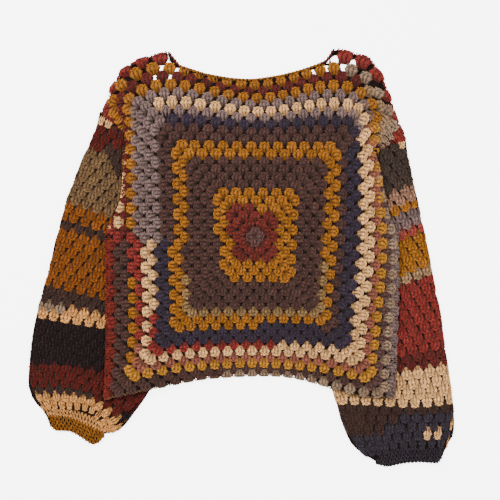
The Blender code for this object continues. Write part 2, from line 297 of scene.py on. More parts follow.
def makeSingle():
    look = singleLook
    parts = []
    for i, side in enumerate((-1, 1)):
        deselectAll()
        bpy.ops.mesh.primitive_cylinder_add(
            vertices=look["strandSides"],
            radius=look["strand"] / 2,
            depth=look["length"] * look["reach"],
            location=(0, 0, 0),
            rotation=(math.pi / 2, 0, 0),
        )
        strand = bpy.context.object
        strand.name = f"strand{i}"
        bpy.ops.object.transform_apply(location=True, rotation=True, scale=True)
        for face in strand.data.polygons:
            face.select = face.normal.y > 0.9
        bpy.ops.object.mode_set(mode="EDIT")
        slim = (look["taper"], 1, look["taper"])
        bpy.ops.transform.resize(value=slim, center_override=(0, look["length"] * 0.57, 0))
        bpy.ops.mesh.select_all(action="SELECT")
        bpy.ops.transform.rotate(value=look["lean"] * side, orient_axis="Z", center_override=(0, 0, 0))
        shift = (side * look["width"] * look["apart"], look["length"] * 0.5, 0)
        bpy.ops.transform.translate(value=shift)
        bpy.ops.object.mode_set(mode="OBJECT")
        parts.append(strand)
    return takeStitch(joined(parts, "singleModel"))


print("stage: stitches")
cluster = makeCluster()
single = makeSingle()


# The frame's walls: how high a layer lies, and its outline seen from above
def mergedNode(node):
    work = bmesh.new()
    work.from_mesh(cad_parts[node].data)
    bmesh.ops.remove_doubles(work, verts=work.verts, dist=1e-5)
    work.normal_update()
    return work


def facesUp(node):
    # The front and the upper layers show from above, the back and the lower ones from below
    return node.endswith(("front", "upper"))


class Layer:
    def __init__(self, node):
        self.node = node
        self.up = facesUp(node)
        work = mergedNode(node)
        self.tree = BVHTree.FromBMesh(work)
        segments = []
        for edge in work.edges:
            flat = [abs(face.normal.z) > flatFace for face in edge.link_faces]
            if len(flat) == 2 and flat[0] != flat[1]:
                if any(face.normal.z > flatFace for face in edge.link_faces):
                    segments.append([tuple(v.co.xy) for v in edge.verts])
        work.free()
        self.outer = self.largestLoop(np.array(segments))

    @staticmethod
    def largestLoop(segments):
        # The outline is the chain of edges that reaches furthest; cut gaps are the others
        ends = {}
        for i, segment in enumerate(segments):
            for end in segment:
                ends.setdefault(tuple(np.round(end, 5)), []).append(i)
        seen = set()
        best, reach = [], 0
        for i in range(len(segments)):
            if i in seen:
                continue
            chain, waiting = [], [i]
            seen.add(i)
            while waiting:
                j = waiting.pop()
                chain.append(j)
                for end in segments[j]:
                    for k in ends[tuple(np.round(end, 5))]:
                        if k not in seen:
                            seen.add(k)
                            waiting.append(k)
            span = np.ptp(segments[chain].reshape(-1, 2), axis=0).max()
            if span > reach:
                best, reach = chain, span
        return segments[best]

    def middle(self, x, y):
        # Height of the wall's middle, or None off the cloth
        start = Vector((x, y, 1.0 if self.up else -1.0))
        way = Vector((0, 0, -1 if self.up else 1))
        hit = self.tree.ray_cast(start, way)[0]
        if hit is None:
            return None
        return hit.z - sweater["wall"] / 2 * (1 if self.up else -1)


def inside(points, segments):
    # Which points an outline holds, by how often a line from each crosses it
    odd = np.zeros(len(points), bool)
    x, y = points[:, 0], points[:, 1]
    for (ax, ay), (bx, by) in segments:
        spans = (ay > y) != (by > y)
        if by != ay:
            odd ^= spans & (x < (bx - ax) * (y - ay) / (by - ay) + ax)
    return odd


def nearest(points, segments):
    # Nearest spot on the outline to each point, and how far it is
    best = np.full(len(points), 1e9)
    spot = points.copy()
    for a, b in segments:
        along = b - a
        size = float(along @ along)
        if size < 1e-14:
            continue
        share = np.clip(((points - a) @ along) / size, 0, 1)
        near = a + share[:, None] * along
        away = np.linalg.norm(points - near, axis=1)
        closer = away < best
        best[closer] = away[closer]
        spot[closer] = near[closer]
    return spot, best


# Soft troughs and ridges pressed into the laid cloth: where each starts and ends,
# how wide it is and how high it stands, all in centimetres
Crease = namedtuple("Crease", "x1 y1 x2 y2 width height")
creases = [
    Crease(-20.5, 19.0, -19.0, 3.0, 1.7, 0.16),
    Crease(-14.0, 24.0, -19.0, 12.0, 1.6, -0.08),
    Crease(18.8, 20.0, 18.0, 6.0, 1.6, 0.14),
    Crease(12.0, -20.0, 20.0, -9.0, 2.2, 0.10),
    Crease(-9.0, -22.0, 4.0, -20.5, 1.8, 0.08),
    Crease(-3.0, 25.0, 6.0, 22.0, 1.8, 0.07),
    Crease(-33.0, 2.0, -34.5, -8.0, 1.6, 0.16),
    Crease(-29.5, 3.0, -31.5, -15.0, 1.8, -0.10),
    Crease(-36.0, -16.0, -34.0, -26.0, 1.5, 0.18),
    Crease(-30.0, -20.0, -29.0, -28.0, 1.4, -0.14),
    Crease(28.5, -4.0, 31.0, -16.0, 1.6, 0.16),
    Crease(26.0, -13.0, 29.0, -27.0, 1.8, -0.10),
    Crease(31.5, -22.0, 31.0, -33.0, 1.5, 0.18),
    Crease(22.0, -30.0, 24.5, -36.0, 1.4, 0.14),
]


def creased(xy):
    lift = np.zeros(len(xy))
    for c in creases:
        a, b = toFrame([(c.x1, c.y1), (c.x2, c.y2)])
        along = b - a
        share = ((xy - a) @ along) / float(along @ along)
        near = a + np.clip(share, 0, 1)[:, None] * along
        away = np.linalg.norm(xy - near, axis=1) / (c.width * cm)
        lift += c.height * cm * np.exp(-(away**2))
    return lift


def settle(points, layer):
    # Yarn that would stick out past the outline folds round it, and nothing sinks in the table
    xy = points[:, :2].copy()
    out = np.where(~inside(xy, layer.outer))[0]
    if len(out):
        spot, away = nearest(xy[out], layer.outer)
        ledge = np.where(atJoin(xy[out], layer.node), sweater["overlap"], sweater["ledge"])
        keep = np.minimum(away, ledge + sweater["ledgeGive"] * away)
        way = (xy[out] - spot) / np.maximum(away, 1e-9)[:, None]
        points[out, :2] = spot + way * keep[:, None]
        drop = np.minimum(sweater["foldDrop"] * away, sweater["foldMost"])
        points[out, 2] += -drop if layer.up else drop
    if layer.up:
        points[:, 2] += creased(points[:, :2])
    points[:, 2] = np.maximum(points[:, 2], sweater["lowest"])
    return points


# How a stitch finds its level, and how much it may differ from the next
layLook = {
    "probe": 0.6,  # of half its width, to each side
    "levelJump": 0.006,  # a probe further off than this has met another layer
    "spread": 0.03,
    "turn": 0.035,
    "tone": 0.07,
}


def layStitches(name, stitch, spots, layer, lift=0.0):
    # Copies of one stitch as one mesh, with a colour and a strand place per point. A spot is a
    # foot, a head and half the width, in frame metres, a yarn and, for some, how far it stands out.
    base = stitch["points"]
    way = 1 if layer.up else -1  # seen from below, all is mirrored in height
    places, colours, used = [], [], 0
    for foot, head, half, yarn, *raised in spots:
        foot, head = np.asarray(foot), np.asarray(head)
        along = head - foot
        length = float(np.linalg.norm(along))
        out = along / length
        side = np.array((out[1], -out[0]))
        centre = (foot + head) / 2
        level = layer.middle(*centre)
        if level is None:  # the last ones reach past the cloth
            level = layer.middle(*foot)
        if level is None:
            continue
        heights = []
        beside = side * half * layLook["probe"]
        for probe in (foot, head, centre - beside, centre + beside):
            z = layer.middle(*probe)
            heights.append(level if z is None or abs(z - level) > layLook["levelJump"] else z)
        wobble = rng.normal(0, 1, 3)
        spread = 2 * half * (1 + layLook["spread"] * wobble[0])
        across = base[:, 0] * spread
        up = base[:, 1] * length
        turn = layLook["turn"] * wobble[1]
        xy = foot + np.outer(across, side + turn * out) + np.outer(up, out - turn * side)
        tilt = heights[0] + (heights[1] - heights[0]) * base[:, 1]
        tilt += (heights[3] - heights[2]) / (2 * layLook["probe"]) * base[:, 0]
        rise = (base[:, 2] + lift + sum(raised)) * way
        places.append(np.column_stack((xy, tilt + rise)))
        tone = 1 + layLook["tone"] * wobble[2]
        # Painted shade and highlight: the yarn's colour times the stitch's shade, lighter on the strands'
        # tops, darker down their sides and at the foot
        colour = np.outer(stitch["shade"] * tone, linear(yarns[yarn]))
        colours.append(np.column_stack((colour, np.ones(len(base)))))
        used += 1
    points = settle(np.concatenate(places), layer)
    mesh = bpy.data.meshes.new(name)
    count = len(base)
    sizes = [len(face) for face in stitch["faces"]]
    wound = np.array([i for face in stitch["faces"] for i in face[::way]])
    loops = (wound[None, :] + np.arange(used)[:, None] * count).ravel()
    starts = np.concatenate(([0], np.cumsum(np.tile(sizes, used))[:-1]))
    mesh.vertices.add(len(points))
    mesh.vertices.foreach_set("co", points.ravel())
    mesh.loops.add(len(loops))
    mesh.loops.foreach_set("vertex_index", loops.astype(np.int32))
    mesh.polygons.add(len(starts))
    mesh.polygons.foreach_set("loop_start", starts.astype(np.int32))
    mesh.update(calc_edges=True)
    mesh.validate()
    # The yarn colour here carries the painted shade and highlight
    colour = mesh.attributes.new("yarn", "FLOAT_COLOR", "POINT")
    colour.data.foreach_set("color", np.concatenate(colours).ravel())
    strand = mesh.attributes.new("strand", "FLOAT_VECTOR", "POINT")
    local = np.tile(stitch["local"], (used, 1)) + np.repeat(rng.uniform(0, 3, (used, 3)), count, 0)
    strand.data.foreach_set("vector", local.ravel())
    mesh.polygons.foreach_set("use_smooth", np.ones(len(starts), bool))
    piece = bpy.data.objects.new(name, mesh)
    bpy.context.collection.objects.link(piece)
    mesh.materials.append(yarnFinish)
    print("stitches", name, used, "of", len(spots))
    return piece


layers = {}
laid = {}  # the pieces of stitches on each node


def lay(name, stitch, spots, node, lift=0.0):
    if node not in layers:
        layers[node] = Layer(node)
    piece = layStitches(name, stitch, spots, layers[node], lift)
    laid.setdefault(node, []).append(piece)


def setInputs(node, values):
    for name, value in values.items():
        node.inputs[name].default_value = value
    return node


def newFinish(name, values):
    finish = bpy.data.materials.new(name)
    finish.use_nodes = True
    shader = setInputs(finish.node_tree.nodes["Principled BSDF"], values)
    return finish, shader, finish.node_tree.nodes, finish.node_tree.links


# Yarn: colour from the stitch, a plied twist along it, loose fibres and a soft sheen
yarnLook = {
    "twist": 9.0,
    "twistDepth": 0.35,
    "twistShade": (0.62, 1.12),
    "fibre": 720.0,
    "heather": 0.5,
    "heatherScale": 260.0,
    "roughness": 0.92,
    "sheen": 0.08,
    "sheenTint": (1.0, 0.82, 0.68, 1),
    "relief": 0.0006,
}


def makeYarnFinish(look):
    finish, shader, nodes, links = newFinish("woolYarn", {
        "Roughness": look["roughness"],
        "Sheen Weight": look["sheen"],
        "Sheen Roughness": 0.5,
        "Sheen Tint": look["sheenTint"],
        "Specular IOR Level": 0.08,
    })
    # The stitch colour: the yarn with its painted shade and highlight
    colour = nodes.new("ShaderNodeAttribute")
    colour.attribute_name = "yarn"
    strand = nodes.new("ShaderNodeAttribute")
    strand.attribute_name = "strand"
    place = nodes.new("ShaderNodeTexCoord")
    # The ply: slanting bands along each strand
    twist = nodes.new("ShaderNodeTexWave")
    twist.wave_type = "BANDS"
    twist.bands_direction = "DIAGONAL"
    setInputs(twist, {"Scale": look["twist"], "Distortion": 1.2, "Detail": 1.0})
    links.new(strand.outputs["Vector"], twist.inputs["Vector"])
    # Fine fibres, and the slow heathering of the dyed wool
    fibre = setInputs(nodes.new("ShaderNodeTexNoise"), {"Scale": look["fibre"], "Detail": 3.0})
    links.new(place.outputs["Object"], fibre.inputs["Vector"])
    heather = setInputs(nodes.new("ShaderNodeTexNoise"), {"Scale": look["heatherScale"], "Detail": 2.0})
    links.new(place.outputs["Object"], heather.inputs["Vector"])
    spread = setInputs(nodes.new("ShaderNodeMapRange"), {
        "From Min": 0.3,
        "From Max": 0.7,
        "To Min": 1 - look["heather"],
        "To Max": 1 + look["heather"],
    })
    links.new(heather.outputs["Fac"], spread.inputs["Value"])
    # Painted shade and highlight along the ply: the colour is darker in the twist's grooves and lighter on
    # its ridges
    dark, light = look["twistShade"]
    grooveShade = setInputs(nodes.new("ShaderNodeMapRange"), {"To Min": dark, "To Max": light})
    links.new(twist.outputs["Fac"], grooveShade.inputs["Value"])
    both = nodes.new("ShaderNodeMath")
    both.operation = "MULTIPLY"
    links.new(spread.outputs["Result"], both.inputs[0])
    links.new(grooveShade.outputs["Result"], both.inputs[1])
    tinted = nodes.new("ShaderNodeVectorMath")
    tinted.operation = "SCALE"
    links.new(colour.outputs["Color"], tinted.inputs["Vector"])
    links.new(both.outputs["Value"], tinted.inputs["Scale"])
    links.new(tinted.outputs["Vector"], shader.inputs["Base Color"])
    height = nodes.new("ShaderNodeMath")
    height.operation = "MULTIPLY_ADD"
    height.inputs[1].default_value = look["twistDepth"]
    links.new(twist.outputs["Fac"], height.inputs[0])
    links.new(fibre.outputs["Fac"], height.inputs[2])
    bump = setInputs(nodes.new("ShaderNodeBump"), {"Strength": 0.6, "Distance": look["relief"]})
    links.new(height.outputs["Value"], bump.inputs["Height"])
    links.new(bump.outputs["Normal"], shader.inputs["Normal"])
    return finish


yarnFinish = makeYarnFinish(yarnLook)

# The ground seen in the holes between stitches: the inner strands, painted dark as the deep shade that falls
# there
groundShadeLook = {"colour": (30, 21, 20), "deepest": 0.35, "mesh": 240.0, "relief": 0.0005}


def makeGroundShadeFinish(look):
    values = {"Roughness": 0.95, "Specular IOR Level": 0.05}
    finish, shader, nodes, links = newFinish("innerStrandsPaintedShade", values)
    place = nodes.new("ShaderNodeTexCoord")
    cells = setInputs(nodes.new("ShaderNodeTexNoise"), {"Scale": look["mesh"]})
    links.new(place.outputs["Object"], cells.inputs["Vector"])
    ramp = nodes.new("ShaderNodeValToRGB")
    dark = linear(look["colour"])
    ramp.color_ramp.elements[0].color = (*[c * look["deepest"] for c in dark], 1)
    ramp.color_ramp.elements[1].color = (*dark, 1)
    links.new(cells.outputs["Fac"], ramp.inputs["Fac"])
    links.new(ramp.outputs["Color"], shader.inputs["Base Color"])
    bump = setInputs(nodes.new("ShaderNodeBump"), {"Distance": look["relief"]})
    links.new(cells.outputs["Fac"], bump.inputs["Height"])
    links.new(bump.outputs["Normal"], shader.inputs["Normal"])
    return finish


groundShadeFinish = makeGroundShadeFinish(groundShadeLook)


def closeGaps(work):
    # Fills the cut gaps that the table does not show through, and lowers the half open ones; the filled gaps
    # carry the ground's painted shade
    sides = {face for face in work.faces if abs(face.normal.z) < flatFace}
    while sides:
        patch, waiting = set(), [sides.pop()]
        while waiting:
            face = waiting.pop()
            patch.add(face)
            for edge in face.edges:
                for other in edge.link_faces:
                    if other in sides:
                        sides.remove(other)
                        waiting.append(other)
        points = np.array([vertex.co.xy for face in patch for vertex in face.verts])
        middle = points.mean(axis=0)
        if np.ptp(points, axis=0).max() > sweater["largestGap"]:
            continue
        away, share = min((np.linalg.norm(middle - toFrame((x, y))), share) for x, y, share in seeThrough)
        if away > sweater["gapReach"]:
            bmesh.ops.delete(work, geom=list(patch), context="FACES_ONLY")
            continue
        low = points[:, 1].min()
        for vertex in {vertex for face in patch for vertex in face.verts}:
            vertex.co.y = low + share * (vertex.co.y - low)
    rim = [edge for edge in work.edges if edge.is_boundary]
    bmesh.ops.holes_fill(work, edges=rim, sides=0)
    work.normal_update()


def makeGround(name, nodes, inset=sweater["groundInset"]):
    # A thin sheet under each layer of stitches, with the same outline and cut gaps
    parts = []
    plan = 0.0
    for node in nodes:
        near = sweater["wall"] / 2 + sweater["groundDepth"]  # from the wall's seen side
        far = sweater["wall"] / 2 - sweater["groundDepth"] - sweater["groundWall"]
        work = mergedNode(node)
        if node == "back":
            closeGaps(work)
        pulls = {}
        for face in work.faces:
            if abs(face.normal.z) < flatFace:
                for vertex in face.verts:
                    pulls.setdefault(vertex, Vector((0, 0)))
                    pulls[vertex] += face.normal.xy * face.calc_area()
            elif face.normal.z > 0:
                plan += face.calc_area()
        moves = []
        for vertex in work.verts:
            faces = [face for face in vertex.link_faces if abs(face.normal.z) > flatFace]
            upper = sum(face.normal.z for face in faces) > 0
            depth = near if upper == facesUp(node) else far
            move = Vector((0, 0, -depth if upper else depth))
            if vertex in pulls and pulls[vertex].length > 1e-12:
                reach = -sweater["overlap"] if atJoin(np.array(vertex.co.xy), node)[0] else inset
                inward = pulls[vertex].normalized() * -reach
                move.x, move.y = inward.x, inward.y
            moves.append((vertex, move))
        for vertex, move in moves:
            vertex.co += move
        if "cuff" not in node and "neck" not in node:  # fine enough for the creases to show in it
            slopes = []
            for edge in work.edges:
                rise = abs(edge.verts[0].co.z - edge.verts[1].co.z)
                if rise < steepEdge * edge.calc_length():
                    slopes.append(edge)
            bmesh.ops.subdivide_edges(work, edges=slopes, cuts=2, use_grid_fill=True)
        mesh = bpy.data.meshes.new(node + "Ground")
        work.to_mesh(mesh)
        work.free()
        part = bpy.data.objects.new(node + "Ground", mesh)
        bpy.context.collection.objects.link(part)
        points = np.array([vertex.co for vertex in mesh.vertices])
        if facesUp(node):
            points[:, 2] += creased(points[:, :2])
        mesh.vertices.foreach_set("co", points.ravel())
        parts.append(part)
    piece = joined(parts, name)
    piece.data.materials.clear()
    # The ground is painted dark as the shade in the holes, its filled gaps too
    piece.data.materials.append(groundShadeFinish)
    return piece, plan


# The granny square's net, as it lies: every row is a height in the square and gives where
# its columns are. Columns and rows are counted in rounds from the middle.
netColumns = (-22, -18, -15, -11, 0, 11, 15, 18, 22)
NetRow = namedtuple("NetRow", "round places")
net = [
    NetRow(22, [
        (-26.6, 20.8), (-24.3, 28.2), (-19.9, 31.1), (-13.6, 31.2), (-0.3, 28.0),
        (12.6, 31.4), (18.9, 30.6), (22.3, 26.5), (25.4, 19.1),
    ]),
    NetRow(18, [
        (-24.8, 19.1), (-21.7, 23.1), (-18.2, 25.1), (-13.4, 25.6), (0.5, 23.5),
        (12.6, 25.3), (17.2, 24.8), (20.3, 22.3), (24.8, 15.9),
    ]),
    NetRow(11, [
        (-24.0, 14.0), (-21.1, 14.0), (-17.8, 14.4), (-12.9, 14.9), (0.5, 14.9),
        (13.4, 14.6), (18.0, 14.1), (20.9, 13.5), (21.9, 13.1),
    ]),
    NetRow(0, [
        (-25.4, 0.0), (-20.8, -0.2), (-17.3, -0.1), (-12.6, 0.0), (0.0, 0.0),
        (12.8, -0.3), (17.9, -0.7), (21.6, -1.1), (25.0, -1.4),
    ]),
    NetRow(-11, [
        (-25.3, -14.9), (-20.4, -14.5), (-16.8, -14.1), (-12.2, -13.6), (-0.3, -13.4),
        (11.6, -13.7), (16.6, -14.5), (20.4, -15.1), (24.6, -15.4),
    ]),
    NetRow(-18, [
        (-25.6, -24.0), (-21.0, -23.3), (-17.3, -22.7), (-12.5, -22.0), (-0.5, -21.3),
        (11.1, -22.0), (15.8, -22.8), (19.4, -23.5), (24.1, -24.0),
    ]),
    NetRow(-22, [
        (-26.2, -28.9), (-21.9, -28.2), (-18.0, -27.4), (-12.9, -26.4), (-0.5, -25.2),
        (10.8, -26.5), (15.2, -27.8), (18.7, -28.7), (24.3, -28.7),
    ]),
]


def blendAlong(knots, values, t):
    # A rounded curve through uneven knots, straight past both ends
    knots = list(knots)
    last = len(knots) - 1
    i = min(max(int(np.searchsorted(knots, t)) - 1, 0), last - 1)

    def slope(j):
        if j in (0, last):
            k = 0 if j == 0 else last - 1
            return (values[k + 1] - values[k]) / (knots[k + 1] - knots[k])
        return (values[j + 1] - values[j - 1]) / (knots[j + 1] - knots[j - 1])

    wide = knots[i + 1] - knots[i]
    s = (t - knots[i]) / wide
    if s < 0 or s > 1:
        edge = 0 if s < 0 else last
        return values[edge] + slope(edge) * (t - knots[edge])
    a, b, c, d = 2 * s**3 - 3 * s**2 + 1, s**3 - 2 * s**2 + s, 3 * s**2 - 2 * s**3, s**3 - s**2
    return a * values[i] + b * wide * slope(i) + c * values[i + 1] + d * wide * slope(i + 1)


netRows = sorted(net, key=lambda row: row.round)
netKnots = [row.round for row in netRows]
netPoints = np.array([row.places for row in netRows])


def squareSpot(u, v):
    # A place in the square, in rounds across and up, to frame metres
    column = [blendAlong(netColumns, netPoints[i], u) for i in range(len(netRows))]
    return toFrame(blendAlong(netKnots, np.array(column), v))


# Colours of the rounds. A round starts at the left side's middle and runs clockwise: it is
# at 1, 3, 5 and 7 at the four corners, and ends at 8. Each entry says a yarn and its end.
rounds = {
    1: [("greyBrown", 8)],
    2: [("darkRed", 8)],
    3: [("darkRed", 8)],
    4: [("darkRed", 2.1), ("mustard", 8)],
    5: [("mustard", 8)],
    6: [("mustard", 6.6), ("brown", 8)],
    7: [("brown", 8)],
    8: [("brown", 8)],
    9: [("brown", 8)],
    10: [("brown", 8)],
    11: [("mustard", 4.28), ("hay", 7.42), ("brown", 8)],
    12: [("mustard", 8)],
    13: [("brown", 5), ("navy", 5.95), ("mustard", 8)],
    14: [("brown", 3), ("navy", 8)],
    15: [("grey", 1), ("navy", 8)],
    16: [("grey", 3), ("cream", 5.75), ("red", 7.3), ("cream", 8)],
    17: [("grey", 1), ("cream", 8)],
    18: [("grey", 3), ("mauve", 7.2), ("red", 8)],
    19: [("red", 0.08), ("mustard", 3), ("gold", 7.1), ("mustard", 7.68), ("red", 8)],
    20: [("maroon", 2.82), ("stone", 3.3), ("greyBrown", 5), ("brown", 8)],
    21: [("red", 0.03), ("cream", 0.45), ("mustard", 2.62), ("ash", 6.27), ("brown", 8)],
    22: [("red", 3.3), ("grey", 5), ("stone", 6.9), ("brick", 8)],
}
squareLook = {
    "rounds": 22,
    "spread": 0.90,  # of the way to the next cluster
    "cornerSpread": 0.92,
    "foot": 1.12,  # in rounds: how far a foot lies inside the round's line, and a head past it
    "head": 0.38,
    "cornerFoot": (1.34, 1.02),  # in from the corner along the side, and from the round's line
    "cornerHead": (0.98, -0.42),
    "middle": 0.4,
    "mateAt": (0.3, 1.28),  # where the other one of a corner's pair is, and the share to reach
    "mateShare": 0.47,
    "widest": 0.0265,
    "shortest": 0.0178,
    "ridge": 0.0007,  # every other round past this one stands out a little
    "ridgeFrom": 14,
    "neckHalf": 12,  # columns of the neck to each side
    "shoulders": (0.95, 3.05),  # where the last round opens wide, in the places of rounds
    "openMost": 0.3,
    "openPerMetre": 30,
}
edgeReach = {"most": 0.022, "step": 0.001, "footFollows": 0.65}


def yarnAt(stretches, place):
    for yarn, end in stretches:
        if place <= end:
            return yarn
    return stretches[-1][0]


def reachEdge(foot, head, outer):
    # Draws a stitch on to the outline, and its foot after it
    way = (head - foot) / np.linalg.norm(head - foot)
    steps = np.arange(0, edgeReach["most"], edgeReach["step"])
    within = inside(head + steps[:, None] * way, outer)
    gain = 0.0 if within.all() else steps[int(np.argmin(within))]
    return foot + way * gain * edgeReach["footFollows"], head + way * gain, gain


def squareStitches(outer):
    look = squareLook
    spots = []
    turns = [(lambda a, b: (-b, a)), (lambda a, b: (a, b)), (lambda a, b: (b, -a)), (lambda a, b: (-a, -b))]
    for n in range(1, look["rounds"] + 1):
        for side, turn in enumerate(turns):
            for i in range(n):
                share = 0.0 if n == 1 else 2 * i / (n - 1) - 1
                corner = abs(share) == 1
                a = (n - 1) * share
                foot, head = (a, n - look["foot"]), (a, n + look["head"])
                if corner:  # the pair in a corner stands out a little
                    ends = (look["cornerFoot"], look["cornerHead"])
                    foot, head = [((n - along) * share, n - depth) for along, depth in ends]
                middle = squareSpot(*turn(a, n - look["middle"]))
                inner = squareSpot(*turn(a - (np.sign(share) or 1), n - look["middle"]))
                half = float(np.linalg.norm(inner - middle)) * look["cornerSpread" if corner else "spread"]
                half = min(half, look["widest"] / 2)
                if corner:  # wide enough to reach the other one of its pair
                    along, depth = look["mateAt"]
                    mate = squareSpot(*turn((n - along) * share, n - depth))
                    apart = float(np.linalg.norm(mate - squareSpot(*turn(a, n - along))))
                    half = max(half, look["mateShare"] * apart)
                foot, head = squareSpot(*turn(*foot)), squareSpot(*turn(*head))
                place = (2 * side + share) % 8
                if n == look["rounds"]:
                    if side == 3 or (side == 1 and abs(a) < look["neckHalf"]):
                        continue  # the hem and the neck end a round earlier
                    if look["shoulders"][0] < place < look["shoulders"][1]:  # fans open up to the edge
                        foot, head, gain = reachEdge(foot, head, outer)
                        half *= 1.0 + min(look["openMost"], look["openPerMetre"] * gain)
                short = look["shortest"] - float(np.linalg.norm(head - foot))
                if short > 0:  # packed rounds lie over each other
                    way = (head - foot) / np.linalg.norm(head - foot)
                    foot, head = foot - way * short / 2, head + way * short / 2
                raised = look["ridge"] if n > look["ridgeFrom"] and n % 2 else 0.0
                spots.append((foot, head, half, yarnAt(rounds[n], place), raised))
    return spots


print("stage: body")
body = ("front", "back")
layers["front"] = Layer("front")
bodySpots = squareStitches(layers["front"].outer)
for node in body:
    lay(node + "Stitches", cluster, bodySpots, node)
grounds = {node: makeGround(node + "Ground", [node]) for node in body}

# The sleeves' rows, from the armhole down, as they lie: four places from the outer fold to
# the inner one
SleeveRow = namedtuple("SleeveRow", "row outer second third inner")
sleeveRight = {
    "net": [
        SleeveRow(0, (-27.3, 20.6), (-25.9, 20.0), (-24.3, 19.4), (-22.9, 18.9)),
        SleeveRow(4, (-29.6, 15.0), (-27.3, 14.2), (-24.8, 13.4), (-22.5, 12.8)),
        SleeveRow(10, (-32.9, 6.8), (-29.0, 5.5), (-25.0, 4.1), (-21.1, 3.0)),
        SleeveRow(14, (-34.4, 1.0), (-29.7, -0.4), (-25.0, -1.9), (-20.3, -3.3)),
        SleeveRow(18, (-35.9, -4.7), (-30.4, -6.4), (-25.0, -8.0), (-19.6, -9.4)),
        SleeveRow(23, (-37.8, -11.8), (-31.5, -13.1), (-25.2, -14.4), (-18.9, -15.7)),
        SleeveRow(27, (-39.0, -17.5), (-32.2, -18.3), (-25.2, -19.2), (-18.4, -20.3)),
        SleeveRow(31, (-39.5, -22.8), (-32.7, -22.9), (-25.7, -24.5), (-18.2, -26.2)),
        SleeveRow(33, (-39.3, -25.6), (-32.9, -25.5), (-26.8, -27.3), (-20.5, -30.1)),
        SleeveRow(35, (-38.3, -27.8), (-33.1, -28.0), (-28.2, -28.9), (-23.6, -33.4)),
        SleeveRow(36, (-37.4, -29.2), (-32.9, -29.3), (-28.5, -30.1), (-25.5, -33.9)),
    ],
    # yarn of each row at the outer fold, and further in past a share of its width
    "yarns": ["cream"] + ["oxblood"] * 3 + ["taupe"] * 7 + ["ochre"] * 2 + ["darkBrown"]
    + ["ochre"] * 7 + ["darkBrown"] * 2 + ["ash", "tan"] + ["ink"] * 6 + ["oxblood"] * 3
    + ["darkBrown", "tan", "tan"],
    "changes": {
        3: [(0.5, "darkBrown")], 4: [(0.55, "darkBrown")], 5: [(0.6, "darkBrown")],
        23: [(0.3, "tan"), (0.86, "stone")], 24: [(0.88, "stone")], 34: [(0.6, "oxblood"), (0.93, "ink")],
    },
    "counts": {0: 3.1, **{row: 10 for row in range(28, 37)}},  # clusters across the gathered rows
}
sleeveLeft = {
    "net": [
        SleeveRow(0, (26.2, 16.6), (24.7, 16.1), (22.9, 15.4), (21.2, 14.7)),
        SleeveRow(4, (27.7, 10.1), (25.7, 9.3), (23.6, 8.4), (21.5, 7.5)),
        SleeveRow(8, (28.8, 4.7), (26.2, 3.7), (23.8, 2.7), (21.2, 1.8)),
        SleeveRow(12, (30.2, -1.0), (26.9, -2.4), (23.8, -3.7), (19.9, -4.9)),
        SleeveRow(16, (31.4, -7.0), (27.1, -8.6), (22.8, -10.1), (17.8, -11.5)),
        SleeveRow(20, (32.6, -13.1), (27.1, -14.9), (21.5, -16.4), (15.4, -18.0)),
        SleeveRow(23, (33.4, -18.5), (27.1, -19.8), (20.8, -21.0), (14.2, -22.0)),
        SleeveRow(26, (34.0, -22.8), (27.3, -23.9), (20.3, -24.5), (13.3, -25.2)),
        SleeveRow(29, (34.6, -28.2), (27.8, -29.0), (20.6, -28.5), (13.8, -28.3)),
        SleeveRow(31, (34.8, -31.3), (28.0, -31.5), (21.3, -31.8), (14.9, -31.8)),
        SleeveRow(34, (33.8, -35.9), (28.3, -36.2), (22.9, -36.9), (18.4, -37.4)),
    ],
    "yarns": ["charcoal"] * 5 + ["taupeRose"] * 2 + ["mustard"] + ["grey"] * 2
    + ["pinkRed"] + ["mustard"] * 4 + ["stone"] + ["red"] * 8 + ["maroon"] * 2 + ["cream"] * 4
    + ["darkBrown"] + ["deepNavy"] * 4,
    "changes": {31: [(0.5, "darkBrown")], 32: [(0.65, "darkBrown")]},
    "counts": {0: 3.1, **{row: 10 for row in range(27, 35)}},
    # single clusters in cream, by their place
    "spots": [(25.6, 16.0), (30.8, -34.1), (32.5, -33.7), (34.3, -33.2), (33.2, -35.2)],
}
# pitch is a cluster's width; foot and head are in rows; a sliver of a cluster is left out
sleeveLook = {"pitch": 0.0206, "spread": 0.97, "foot": 0.92, "head": 0.62, "sliver": 0.15}


